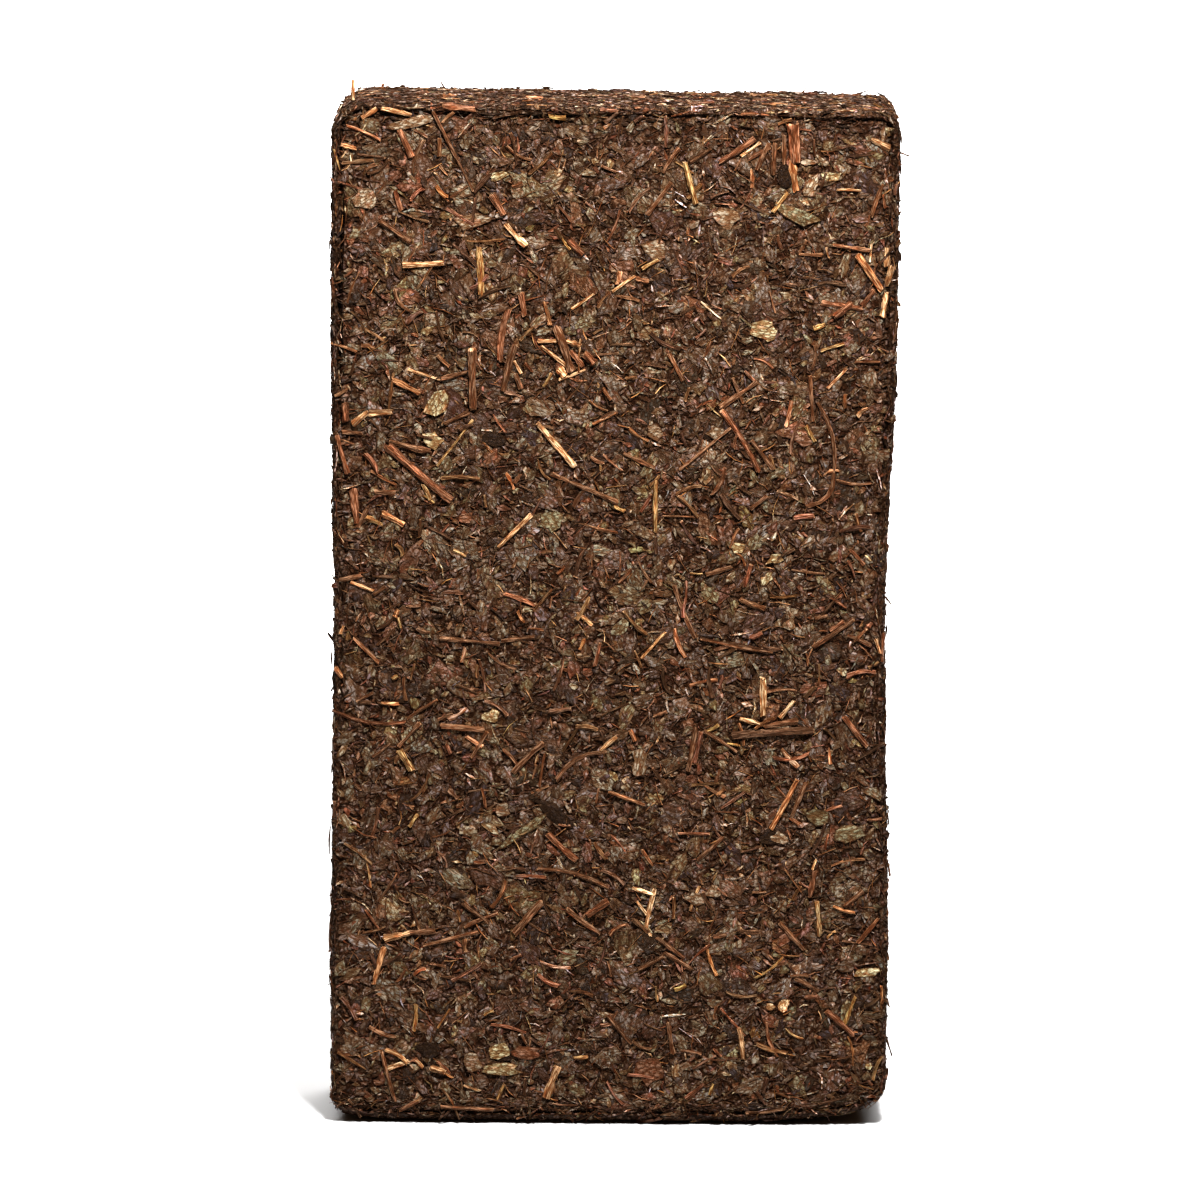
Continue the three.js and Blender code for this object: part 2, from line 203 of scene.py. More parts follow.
def pressed(plain):
    """Places on the pressed brick, and the directions out of it, for points of the plain block."""
    x, y, z = plain.T.copy()
    from_side = WIDTH / 2 - np.abs(x)
    from_face = DEPTH / 2 - np.abs(y)
    from_top = HEIGHT - z
    on_face = from_face < TOLERANCE
    on_side = from_side < TOLERANCE
    on_top = from_top < TOLERANCE
    from_rim = np.minimum(from_side, from_top)
    groove = np.where(x > 0, np.interp(z, *SIDE_GROOVES["right"]), np.interp(z, *SIDE_GROOVES["left"]))
    groove = np.where(from_top < from_side, TOP_GROOVE, groove) * (1 + smooth_noise(plain, GROOVE_SPREAD))
    rim = np.interp(from_rim, *RIM_PROFILE) + groove * np.interp(from_rim, *GROOVE_PROFILE)
    rim += np.interp(z, *FOOT_FACE_PROFILE)
    sway = smooth_noise(plain, RIM_SWAY) * np.interp(from_rim, *SWAY_PROFILE)
    waves = smooth_noise(plain, WAVES) + smooth_noise(plain, LUMPS)
    layers = sum(smooth_noise(plain, layer) for layer in LAYER_WAVES)
    side_inset = SIDE_INSET + np.interp(from_face, *SIDE_PROFILE) - layers
    y = y - np.sign(y) * np.where(on_face, rim - waves, 0)
    x = x - np.sign(x) * np.where(on_side, side_inset, 0)
    x = x - np.sign(x) * np.where(on_face & (from_side <= from_top), sway, 0)
    z = z - np.where(on_face & (from_side > from_top), sway, 0)
    z = z - np.where(on_top, side_inset, 0)
    z = z + np.interp(from_face, *FOOT_PROFILE) * np.maximum(0, 1 - z / FOOT_REACH)
    x, z = round_corners(x, z)
    place = np.stack((x * bow_share(x, z), y, z + foot_lift(x, z) - top_drop(x, z)), axis=1)
    inner = np.clip(plain - MIDDLE, EDGE_ROUND - HALF, HALF - EDGE_ROUND)
    out = plain - MIDDLE - inner
    return place, out / np.linalg.norm(out, axis=1, keepdims=True)


def laid_on(face, u, v, height):
    """Points at a height over a face, for arrays of places of any one shape."""
    place, out = pressed(on_block(face, u.ravel(), v.ravel()))
    points = place + out * height.ravel()[:, None]
    points[:, 2] = np.maximum(points[:, 2], FLOOR_GAP)
    return points.reshape(*u.shape, 3)


# Steps that spread places evenly, and how far each is moved, as a share of the distance between them
EVEN_STEPS = np.array((0.7548776662466927, 0.5698402909980532))
MOVED_SHARE = 0.6


def strewn_places(face, kind, rng):
    """Places for a kind of thing, even over a face but each moved a little, and off a broad face's rim."""
    half_u, half_v, _ = face_half(face)
    broad = face in BROAD
    density = kind["per_cm2"]["broad" if broad else "narrow"]
    area = 4 * half_u * half_v / MM_PER_CM ** 2
    count = round(density * area * DENSITY_SHARES.get(face, 1))
    share = (rng.uniform(size=2) + np.arange(1, count + 1)[:, None] * EVEN_STEPS) % 1
    apart = MM_PER_CM / math.sqrt(density)
    places = (2 * share - 1) * np.array((half_u, half_v))
    places += rng.uniform(-MOVED_SHARE, MOVED_SHARE, (count, 2)) * apart
    from_rim = np.minimum(half_u - np.abs(places[:, 0]), half_v - places[:, 1])
    return places[from_rim > kind["margin"]] if broad else places


# Joined meshes of many small closed shapes

SHARP_ANGLE = math.radians(40)


def joined(name, shapes, triangles, chart, material):
    """One mesh object of many shapes that share their triangles and their bake chart."""
    points = np.concatenate([shape["points"] for shape in shapes])
    tint = np.concatenate([shape["tint"] for shape in shapes])
    grain = np.concatenate([shape["grain"] for shape in shapes])
    count, size = points.shape[:2]
    corners = (np.arange(count)[:, None, None] * size + triangles[None]).ravel()
    columns = math.ceil(math.sqrt(count))
    cells = np.stack((np.arange(count) % columns, np.arange(count) // columns), axis=1)
    uv = (cells[:, None, None, :] + chart[None]) / columns
    return mesh_object(name, points.reshape(-1, 3), corners, uv.reshape(-1, 2),
                       tint.reshape(-1, 3), grain.reshape(-1, 3), material)


def mesh_object(name, points, corners, uv, tint, grain, material):
    """A mesh of triangles with its bake chart, its colours and its grain."""
    mesh = bpy.data.meshes.new(name)
    mesh.vertices.add(len(points))
    mesh.vertices.foreach_set("co", (points * MM).ravel())
    mesh.loops.add(len(corners))
    mesh.loops.foreach_set("vertex_index", corners)
    mesh.polygons.add(len(corners) // 3)
    mesh.polygons.foreach_set("loop_start", np.arange(0, len(corners), 3))
    mesh.update(calc_edges=True)
    mesh.uv_layers.new(name="OFBake").uv.foreach_set("vector", uv.ravel())
    colours = np.concatenate((tint, np.ones((len(tint), 1))), axis=1)
    mesh.attributes.new("tint", "FLOAT_COLOR", "POINT").data.foreach_set("color", colours.ravel())
    mesh.attributes.new("grain", "FLOAT_VECTOR", "POINT").data.foreach_set("vector", grain.ravel())
    mesh.polygons.foreach_set("use_smooth", np.ones(len(corners) // 3, bool))
    mesh.set_sharp_from_angle(angle=SHARP_ANGLE)
    mesh.materials.append(material)
    thing = bpy.data.objects.new(name, mesh)
    bpy.context.scene.collection.objects.link(thing)
    return thing


# Colours as sRGB numbers, with the share of pieces that have them

LEAF_TINTS = (
    ((64, 47, 34), 0.22),
    ((80, 61, 45), 0.26),
    ((90, 73, 53), 0.18),
    ((98, 79, 59), 0.12),
    ((90, 59, 41), 0.07),
    ((40, 31, 25), 0.12),
    ((114, 92, 68), 0.03),
)
CRUMB_TINTS = (
    ((52, 34, 23), 0.24),
    ((80, 59, 44), 0.28),
    ((96, 79, 62), 0.20),
    ((98, 61, 42), 0.09),
    ((28, 22, 18), 0.10),
    ((140, 112, 86), 0.07),
    ((166, 139, 112), 0.02),
)
LAYER_TINTS = (
    ((42, 26, 17), 0.26),
    ((74, 52, 37), 0.30),
    ((104, 80, 59), 0.18),
    ((90, 54, 34), 0.09),
    ((22, 14, 9), 0.10),
    ((148, 115, 85), 0.07),
)
FIBRE_TINTS = (
    ((62, 40, 25), 0.44),
    ((92, 60, 38), 0.28),
    ((128, 90, 58), 0.20),
    ((158, 122, 84), 0.04),
    ((28, 18, 11), 0.04),
)
STEM_TINTS = {
    "dark": (50, 33, 23),
    "brown": (84, 58, 41),
    "red": (98, 63, 44),
    "ochre": (126, 98, 64),
    "orange": (140, 98, 66),
    "tan": (144, 109, 78),
    "pale": (156, 124, 92),
    "white": (178, 154, 124),
}
STEM_SHARES = {"dark": 0.26, "brown": 0.44, "red": 0.18, "orange": 0.05, "ochre": 0.05, "tan": 0.02}
FLAKE_TINTS = {
    "yellow": (134, 111, 76),
    "tan": (112, 89, 65),
    "olive": (92, 78, 53),
    "black": (14, 10, 8),
    "red": (94, 60, 40),
    "cream": (176, 138, 96),
}
STREWN_STEM_TINTS = tuple((STEM_TINTS[name], share) for name, share in STEM_SHARES.items())
PITH = {"tint": (150, 115, 86), "share": 0.7, "spread": 0.3}
LIGHTNESS_SPREAD = 0.1
HUE_SPREAD = (0.04, 0.03, 0.12)
PATCHES = {"height": 0.12, "length": 45, "seed": 5}
# Painted shade on the broad faces: lightness falls towards the side edges and under the top rim, as
# distances in millimetres and shares of lightness
SIDE_EDGE_PAINTED_SHADE = ((0, 2.5, 6), (0.45, 0.75, 1))
TOP_RIM_PAINTED_SHADOW = ((3, 16), (0.72, 1))

# Powers of lightness for red, green and blue, because darker leaf is also redder
DEPTH_OF_COLOUR = (1.0, 1.52, 2.03)


def spread_tints(colours, places, rng):
    """Linear colours for places, with a spread of lightness and hue, slow patches, and painted shade near
    the side edges and under the top rim of the broad faces.
    """
    lightness = np.exp(rng.normal(0, LIGHTNESS_SPREAD, len(places)))
    lightness *= 1 + smooth_noise(places, PATCHES)
    from_side, from_face, _ = (HALF - np.abs(places - MIDDLE)).T
    # Painted shade near the side edges and painted shadow of the rim under the top, on the broad faces only
    painted_shade = np.interp(from_side, *SIDE_EDGE_PAINTED_SHADE) * np.interp(HEIGHT - places[:, 2], *TOP_RIM_PAINTED_SHADOW)
    lightness *= np.where(from_face < TOLERANCE, painted_shade, 1)
    hue = 1 + rng.normal(0, HUE_SPREAD, (len(places), 3))
    return colours * lightness[:, None] * hue


def drawn_tints(tints, places, rng):
    """One colour for each place, drawn by share."""
    colours = linear([colour for colour, _ in tints])
    shares = np.array([share for _, share in tints])
    picks = rng.choice(len(tints), len(places), p=shares / shares.sum())
    return spread_tints(colours[picks], places, rng)


# Leaf flakes: an outline of torn edges, rings inside it, a middle, and a buried point below

FLAKE_GRAIN = {"along": (0.5, 1.0), "across": (1.0, 1.7)}
GRAIN_REACH = 900
CORNER_SPREAD = 0.35
TORN_RANGE = (0.45, 1.5)
RING_SPREAD = (0.85, 1.15)
FLAKE_MOTTLE = 0.12

# Middle and radius of a flake's top and of its underside in its bake cell
TOP_CHART = (0.55, 0.42)
UNDER_CHART = (0.06, 0.04)


def flake_triangles(sides, ring_shares):
    """Triangles of a flake, and where their corners lie in its bake cell."""
    around = np.arange(sides)
    after = (around + 1) % sides
    rings = len(ring_shares)
    parts = []
    for ring in range(rings):
        outer, inner = ring * sides, (ring + 1) * sides
        parts.append(np.stack((outer + around, outer + after, inner + after), axis=1))
        parts.append(np.stack((outer + around, inner + after, inner + around), axis=1))
    last, middle, below = rings * sides, (rings + 1) * sides, (rings + 1) * sides + 1
    parts.append(np.stack((last + around, last + after, np.full(sides, middle)), axis=1))
    top = np.concatenate(parts)
    under = np.stack((around, np.full(sides, below), after), axis=1)
    angle = 2 * np.pi * around / sides
    circle = np.stack((np.cos(angle), np.sin(angle)), axis=1)
    spots = np.concatenate([circle * share for share in (1, *ring_shares)] + [np.zeros((2, 2))])
    chart = [TOP_CHART[0] + TOP_CHART[1] * spots[top], UNDER_CHART[0] + UNDER_CHART[1] * spots[under]]
    return np.concatenate((top, under)), np.concatenate(chart)


def strewn_flakes(face, kind, rng):
    """Places, sizes, turns and colours for the flakes of one kind on a face."""
    places = strewn_places(face, kind, rng)
    length = between_sizes(kind["size"], len(places), rng)
    return {
        "middle": places,
        "length": length,
        "breadth": length * rng.uniform(*kind["aspect"], len(places)),
        "turn": rng.uniform(0, 2 * np.pi, len(places)),
        "rise": rng.uniform(*kind["rise"], len(places)),
        "tint": drawn_tints(kind["tints"], on_block(face, *places.T), rng),
    }


def flakes(face, kind, flake, rng):
    """Shapes of flakes laid on a face."""
    count, sides, rings = len(flake["turn"]), kind["sides"], kind["rings"]
    turn = flake["turn"][:, None]
    moved = rng.uniform(-CORNER_SPREAD, CORNER_SPREAD, (count, sides))
    angle = 2 * np.pi * (np.arange(sides) + moved) / sides
    torn = np.clip(1 + rng.normal(0, kind["torn"], (count, sides)), *TORN_RANGE)
    shares = [np.ones((count, 1))] + [share * rng.uniform(*RING_SPREAD, (count, 1)) for share in rings]
    middles = np.zeros((count, 2))
    along = np.concatenate([torn * np.cos(angle) * share for share in shares] + [middles], axis=1)
    across = np.concatenate([torn * np.sin(angle) * share for share in shares] + [middles], axis=1)
    a = along * flake["length"][:, None] / 2
    b = across * flake["breadth"][:, None] / 2
    du = a * np.cos(turn) - b * np.sin(turn)
    dv = a * np.sin(turn) + b * np.cos(turn)
    tilt = rng.normal(0, kind["tilt"], (2, count, 1))
    height = flake["rise"][:, None] + tilt[0] * du + tilt[1] * dv
    height += rng.normal(0, kind["curl"], (count, 1)) * np.abs(b)
    height += rng.normal(0, kind["crumple"], a.shape)
    height[:, :sides] -= rng.uniform(0, kind["droop"], (count, sides))
    height[:, -1] = height[:, :sides].min(axis=1) - kind["thick"]
    tint = flake["tint"][:, None, :] * np.exp(rng.normal(0, FLAKE_MOTTLE, a.shape))[..., None]
    # Painted shade: a flake's outline corners are darkened by its kind's edge share, partly the leaf's own
    # darker edge and partly shade where it meets the flakes around it
    tint[:, :sides] *= kind["edge"] ** np.array(DEPTH_OF_COLOUR)
    seed = np.broadcast_to(rng.uniform(0, GRAIN_REACH, (count, 1)), a.shape)
    run = a * between_sizes(FLAKE_GRAIN["along"], (count, 1), rng)
    side = b * between_sizes(FLAKE_GRAIN["across"], (count, 1), rng)
    grain = np.stack((run, side, seed), axis=2)
    points = laid_on(face, flake["middle"][:, :1] + du, flake["middle"][:, 1:] + dv, height)
    return {"points": points, "tint": tint, "grain": grain}


# Stems, shreds, layers and fibres: bent rods with rings of a few corners

# Where a rod's side and its two ends lie in its bake cell
SIDE_CHART = {"corner": (0.03, 0.13), "size": (0.94, 0.84)}
END_CHART = {"middles": ((0.05, 0.05), (0.15, 0.05)), "radius": 0.04}


def rod_triangles(sides, rings):
    """Triangles of a rod, its side first and then its ends, and where their corners lie in its bake cell."""
    around = np.arange(sides)
    after = (around + 1) % sides
    left, right = around / sides, (around + 1) / sides
    parts = []
    chart = []
    for ring in range(rings - 1):
        low, high = ring * sides, (ring + 1) * sides
        bottom, top = np.full(sides, ring / (rings - 1)), np.full(sides, (ring + 1) / (rings - 1))
        parts.append(np.stack((low + around, low + after, high + after), axis=1))
        parts.append(np.stack((low + around, high + after, high + around), axis=1))
        chart.append(np.stack((left, bottom, right, bottom, right, top), axis=1).reshape(-1, 3, 2))
        chart.append(np.stack((left, bottom, right, top, left, top), axis=1).reshape(-1, 3, 2))
    fan = np.arange(1, sides - 1)
    first = np.stack((np.zeros_like(fan), fan + 1, fan), axis=1)
    last = np.stack((np.zeros_like(fan), fan, fan + 1), axis=1)
    angle = 2 * np.pi * around / sides
    circle = np.stack((np.cos(angle), np.sin(angle)), axis=1)
    ends = [np.array(middle) + END_CHART["radius"] * circle[fans]
            for middle, fans in zip(END_CHART["middles"], (first, last))]
    body = np.concatenate(chart) * np.array(SIDE_CHART["size"]) + np.array(SIDE_CHART["corner"])
    return np.concatenate(parts + [first, last + (rings - 1) * sides]), np.concatenate([body, *ends])


def straight_on(face, rod, run, side, lift):
    """Points of stiff rods, each straight between its ends, which lie on a face unless they are given."""
    if face is None:
        low, high, out = rod["low"], rod["high"], rod["out"]
    else:
        step = np.stack((np.cos(rod["angle"]), np.sin(rod["angle"])), axis=1) * rod["length"][:, None] / 2
        ends = np.stack((rod["middle"] - step, rod["middle"] + step))
        low, high = laid_on(face, ends[..., 0], ends[..., 1], np.zeros(ends.shape[:2]))
        _, out = pressed(on_block(face, *rod["middle"].T))
    along = (high - low) / np.linalg.norm(high - low, axis=1, keepdims=True)
    beside = np.cross(out, along)
    parts = ((run, along), (side, beside), (lift, out))
    points = (low + high)[:, None, None, :] / 2
    for amount, direction in parts:
        points = points + np.broadcast_to(amount, lift.shape)[..., None] * direction[:, None, None, :]
    points[..., 2] = np.maximum(points[..., 2], FLOOR_GAP)
    return points


def bent_on(face, rod, run, side, lift):
    """Points of limp rods, which follow a face."""
    angle = rod["angle"][:, None, None]
    u = rod["middle"][:, 0, None, None] + run * np.cos(angle) - side * np.sin(angle)
    v = rod["middle"][:, 1, None, None] + run * np.sin(angle) + side * np.cos(angle)
    return laid_on(face, u, v, lift)


def rods(face, kind, rod, rng):
    """Shapes of rods on a face."""
    count, sides = len(rod["length"]), kind["sides"]
    station = np.array(kind["stations"])[None, :, None]
    rings = station.size
    each = {name: values[:, None, None] for name, values in rod.items() if values.ndim == 1}
    from_middle = station - 0.5
    corner = 2 * np.pi * (np.arange(sides) + 0.5) / sides
    twist = each["twist"] * from_middle + each["roll"]
    girth = np.array(kind["girth"])[None, :, None] * np.exp(rng.normal(0, kind["uneven"], (count, rings, 1)))
    wide = each["half_width"] * girth * np.cos(corner)
    thick = each["half_thick"] * girth * np.sin(corner)
    side = wide * np.cos(twist) - thick * np.sin(twist)
    side = side + each["bend"] * each["length"] * (1 - 4 * from_middle ** 2)
    lift = wide * np.sin(twist) + thick * np.cos(twist)
    lift = lift + each["rise"] + each["slope"] * each["length"] * from_middle
    lift = lift + rng.normal(0, kind["wobble"], (count, rings, 1))
    ragged = np.zeros((count, rings, sides))
    ragged[:, [0, -1]] = rng.uniform(-1, 1, (count, 2, sides)) * kind["ragged"]
    run = from_middle * each["length"] + ragged * each["half_width"]
    lay = straight_on if kind["stiff"] else bent_on
    points = lay(face, rod, run, side, lift)
    tint = rod["tint"][:, None, None, :] * np.exp(rng.normal(0, kind["mottle"], (count, rings, sides, 1)))
    if kind["pith"]:
        pith = linear(PITH["tint"]) * np.exp(rng.normal(0, PITH["spread"], (count, 1, 1)))
        bare = rng.uniform(0, PITH["share"], (count, 2, 1, 1))
        tint[:, [0, -1]] = (1 - bare) * tint[:, [0, -1]] + bare * pith[:, None]
    around = np.broadcast_to(corner * each["half_width"], run.shape)
    seed = np.broadcast_to(rng.uniform(0, GRAIN_REACH, (count, 1, 1)), run.shape)
    grain = np.stack((around, run, seed), axis=3)
    return {name: values.reshape(count, rings * sides, 3)
            for name, values in (("points", points), ("tint", tint), ("grain", grain))}


def strewn_rods(face, kind, places, along, rng):
    """Rods of one kind at given places, nearly along a direction, or at any angle where that is None."""
    count = len(places)
    if along is None:
        angle = rng.uniform(0, np.pi, count)
    else:
        angle = along + rng.normal(0, kind["lean"], count)
    width = between_sizes(kind["width"], count, rng)
    return {
        "middle": places,
        "angle": angle,
        "length": between_sizes(kind["length"], count, rng),
        "half_width": width / 2,
        "half_thick": width / 2 * rng.uniform(*kind["flatness"], count),
        "bend": rng.normal(0, kind["bend"], count),
        "twist": rng.normal(0, kind["twist"], count),
        "roll": rng.normal(0, kind["roll"], count),
        "rise": rng.uniform(*kind["rise"], count),
        "slope": rng.normal(0, kind["slope"], count),
        "tint": drawn_tints(kind["tints"], on_block(face, *places.T), rng),
    }


# What is strewn: counts are for each square centimetre of a face

# A flake kind's edge is the lightness of its outline: painted shade, partly the leaf's own darker edge
FLAKE_KINDS = {
    "large_flakes": {
        "sides": 10, "rings": (0.88,), "size": (6, 12), "aspect": (0.35, 0.8), "torn": 0.22, "margin": 5.5,
        "rise": (-0.1, 0.1), "tilt": 0.03, "curl": 0.03, "crumple": 0.05, "droop": 0.3, "thick": 0.9,
        "edge": 0.2, "per_cm2": {"broad": 1.0, "narrow": 0.1}, "tints": LEAF_TINTS,
    },
    "medium_flakes": {
        "sides": 6, "rings": (0.8,), "size": (3, 7), "aspect": (0.3, 0.75), "torn": 0.24, "margin": 3.5,
        "rise": (-0.1, 0.2), "tilt": 0.05, "curl": 0.05, "crumple": 0.05, "droop": 0.3, "thick": 0.8,
        "edge": 0.2, "per_cm2": {"broad": 6.0, "narrow": 0.5}, "tints": LEAF_TINTS,
    },
    "small_flakes": {
        "sides": 4, "rings": (), "size": (1.4, 4.6), "aspect": (0.15, 0.5), "torn": 0.24, "margin": 0,
        "rise": (-0.1, 0.3), "tilt": 0.1, "curl": 0.1, "crumple": 0.05, "droop": 0.2, "thick": 0.6,
        "edge": 0.6, "per_cm2": {"broad": 15.0, "narrow": 6.0}, "tints": CRUMB_TINTS,
    },
}
SHRED_KIND = {
    "sides": 4, "stations": (0, 0.45, 1), "girth": (0.5, 1, 0.4), "width": (0.35, 1.1),
    "flatness": (0.3, 0.7), "length": (2.5, 9), "bend": 0.08, "twist": 0.7, "roll": 0.5, "rise": (-0.2, 0.2),
    "slope": 0.03, "uneven": 0.12, "wobble": 0.08, "ragged": 0.6, "mottle": 0.14, "pith": False,
    "stiff": False, "margin": RIM_WIDTH, "per_cm2": {"broad": 4.0}, "tints": CRUMB_TINTS,
}
FIBRE_KIND = {
    "sides": 3, "stations": (0, 0.5, 1), "girth": (0.8, 1, 0.5), "width": (0.22, 0.55),
    "flatness": (0.7, 1), "length": (2.5, 9), "bend": 0.05, "twist": 0.4, "roll": 1, "rise": (0.1, 0.5),
    "slope": 0.08, "uneven": 0.1, "wobble": 0.05, "ragged": 0.5, "mottle": 0.1, "pith": False, "stiff": True,
    "lean": 0.3, "margin": -math.inf, "per_cm2": {"broad": 2.0, "narrow": 1.4}, "tints": FIBRE_TINTS,
}
LAYER_KIND = {
    "sides": 4, "stations": (0, 0.5, 1), "girth": (0.5, 1, 0.45), "width": (0.3, 0.8),
    "flatness": (0.7, 1.6), "length": (1.6, 5.5), "bend": 0.06, "twist": 0.5, "roll": 0.5,
    "rise": (-0.3, 0.5), "slope": 0.06, "uneven": 0.2, "wobble": 0.1, "ragged": 0.9, "mottle": 0.2,
    "pith": False, "stiff": False, "lean": 0.25, "per_cm2": {"narrow": 24}, "tints": LAYER_TINTS,
}
RIM_KIND = {
    **LAYER_KIND, "width": (0.35, 1.2), "flatness": (0.5, 1.0), "length": (3, 10), "bend": 0.07,
    "lean": 0.22, "twist": 0.6, "rise": (-0.2, 0.5), "stiff": True, "per_cm2": 8, "reach": 4.6,
}
FOOT_EDGE_KIND = {
    **RIM_KIND, "length": (2, 8), "lean": 0.9, "rise": (0, 1.2), "slope": 0.15, "per_cm2": 16, "reach": 3.5,
}
STEM_KIND = {
    "sides": 6, "stations": (0, 0.015, 0.27, 0.5, 0.74, 0.985, 1),
    "girth": (0.8, 1, 0.97, 1.03, 0.96, 1, 0.8), "width": (0.8, 1.8), "flatness": (0.6, 0.95),
    "length": (3.5, 13), "bend": 0.05, "twist": 0.6, "roll": 0.5, "rise": (-0.1, 0.4), "slope": 0.02,
    "uneven": 0.16, "wobble": 0.1, "ragged": 0.6, "mottle": 0.25, "pith": True, "stiff": True, "lean": 0.1,
    "margin": RIM_WIDTH, "per_cm2": {"broad": 0.8, "narrow": 0.25}, "tints": STREWN_STEM_TINTS,
}

# Stems that stand out in the photograph: pixels from end to end, with a bent one's middle, and the width

STEM_MARKS = {
    "white": (
        (872, 244, 870, 262, 2), (701, 302, 721, 319, 1.6), (464, 1086, 480, 1091, 2.5),
        (351, 155, 350, 165, 343, 171, 1.3), (343, 158, 347, 152, 1.2),
    ),
    "pale": (
        (506, 225, 526, 246, 5), (741, 156, 760, 143, 3), (537, 423, 574, 466, 5), (763, 678, 763, 716, 6),
        (741, 719, 763, 725, 4), (780, 718, 794, 701, 4), (632, 888, 655, 895, 4), (655, 889, 646, 928, 4),
        (637, 902, 647, 915, 3), (646, 928, 651, 936, 3), (388, 1069, 409, 1062, 4), (601, 750, 616, 737, 4),
        (612, 292, 635, 276, 2.5), (837, 190, 861, 191, 2.5), (572, 309, 594, 294, 2.5),
    ),
    "tan": (
        (402, 265, 443, 263, 5), (369, 414, 392, 412, 6), (873, 140, 890, 148, 6), (384, 939, 410, 933, 6),
        (431, 1068, 445, 1072, 6), (415, 1060, 423, 1068, 3),
        (558, 1067, 546, 1098, 7), (739, 1028, 743, 1060, 5),
        (531, 515, 498, 548, 4), (341, 117, 355, 117, 3), (382, 109, 412, 115, 4), (353, 424, 368, 412, 5),
        (350, 582, 373, 591, 3), (889, 248, 888, 266, 6), (894, 266, 889, 287, 6), (888, 292, 884, 316, 6),
        (538, 341, 556, 341, 4), (567, 341, 580, 346, 5), (541, 346, 566, 366, 3), (559, 369, 565, 376, 7),
        (514, 361, 521, 374, 3), (559, 380, 585, 370, 2.5), (875, 639, 879, 653, 3), (344, 626, 341, 634, 3),
    ),
    "ochre": (
        (479, 248, 481, 295, 6), (685, 162, 696, 204, 5), (656, 480, 655, 532, 4), (437, 466, 473, 420, 2.5),
        (399, 750, 412, 770, 6), (788, 193, 773, 212, 4), (642, 269, 658, 260, 3), (821, 351, 844, 344, 3),
        (336, 149, 341, 171, 2), (392, 679, 398, 676, 4), (398, 618, 401, 628, 2.5),
    ),
    "orange": (
        (858, 255, 882, 289, 6), (792, 161, 796, 191, 6), (392, 379, 419, 393, 5), (382, 513, 404, 525, 5),
        (384, 948, 374, 984, 5), (797, 781, 771, 830, 5), (544, 302, 550, 325, 4), (361, 118, 377, 109, 4),
        (343, 145, 357, 149, 4), (336, 667, 343, 678, 4), (395, 617, 398, 610, 4), (381, 703, 399, 704, 2.5),
    ),
    "red": (
        (443, 106, 475, 109, 5), (400, 131, 412, 157, 5), (395, 191, 401, 210, 5),
        (492, 195, 504, 215, 6), (569, 240, 583, 255, 6), (720, 162, 755, 138, 5), (793, 124, 796, 161, 9),
        (388, 446, 452, 501, 7), (333, 711, 359, 720, 406, 722, 5),
        (588, 915, 608, 901, 6), (815, 871, 810, 897, 5),
        (437, 1062, 450, 1074, 3), (826, 1011, 853, 1035, 5),
        (508, 310, 502, 333, 500, 361, 6), (521, 294, 524, 315, 6),
        (570, 351, 583, 367, 5), (585, 354, 594, 363, 6),
        (525, 363, 532, 372, 3), (722, 411, 743, 444, 759, 472, 5),
        (831, 598, 846, 608, 3), (830, 631, 844, 622, 4), (883, 633, 881, 662, 3),
        (844, 717, 867, 746, 5), (548, 834, 576, 860, 6), (346, 403, 347, 421, 7), (339, 436, 349, 474, 5),
        (354, 490, 357, 524, 7), (822, 303, 862, 309, 5), (835, 316, 851, 304, 6), (862, 306, 874, 291, 5),
    ),
    "brown": (
        (433, 111, 473, 191, 3), (451, 197, 468, 186, 3), (379, 220, 411, 242, 5), (515, 374, 521, 389, 5),
        (556, 327, 564, 345, 571, 372, 7), (514, 345, 509, 365, 503, 392, 7), (848, 636, 870, 646, 4),
        (690, 162, 710, 149, 4), (784, 136, 784, 164, 4), (775, 144, 773, 174, 4),
        (769, 144, 757, 170, 4), (671, 183, 647, 215, 4), (343, 432, 363, 434, 4), (390, 441, 431, 451, 5),
        (441, 379, 467, 372, 4), (472, 350, 473, 409, 7), (375, 492, 395, 493, 4), (337, 580, 361, 576, 4),
        (551, 474, 618, 503, 4), (439, 638, 500, 644, 4), (502, 641, 535, 637, 4), (624, 454, 654, 468, 4),
        (757, 382, 720, 408, 4), (752, 441, 773, 469, 4), (817, 402, 833, 434, 834, 472, 4),
        (834, 472, 831, 493, 806, 507, 4),
        (810, 376, 813, 422, 4), (731, 428, 680, 470, 3), (669, 354, 683, 381, 4),
        (674, 585, 695, 638, 4), (706, 575, 731, 567, 4), (813, 647, 853, 620, 4), (702, 639, 771, 652, 4),
        (441, 726, 483, 730, 5), (398, 747, 420, 723, 4),
        (407, 719, 424, 708, 437, 700, 3), (471, 758, 487, 732, 4),
        (513, 773, 543, 743, 5), (556, 781, 573, 761, 606, 752, 4), (537, 869, 569, 872, 608, 888, 4),
        (567, 910, 600, 934, 4), (514, 934, 542, 902, 6), (463, 904, 489, 923, 4), (410, 933, 435, 931, 5),
        (424, 946, 478, 932, 4), (765, 726, 797, 721, 6), (696, 725, 688, 772, 4), (704, 731, 737, 752, 4),
        (806, 783, 792, 817, 4), (698, 860, 723, 837, 4), (657, 938, 684, 958, 4), (780, 923, 804, 950, 4),
        (844, 907, 863, 891, 4), (713, 937, 726, 935, 4), (638, 970, 663, 957, 4), (665, 953, 692, 970, 4),
        (668, 1023, 673, 1054, 4), (796, 979, 818, 991, 4),
        (608, 1015, 631, 1044, 4), (382, 1053, 395, 1100, 3),
        (441, 1107, 494, 1110, 4), (746, 1116, 783, 1109, 4), (356, 702, 373, 693, 3),
    ),
    "dark": (
        (733, 736, 773, 733, 813, 731, 7), (358, 154, 385, 158, 2),
    ),
}

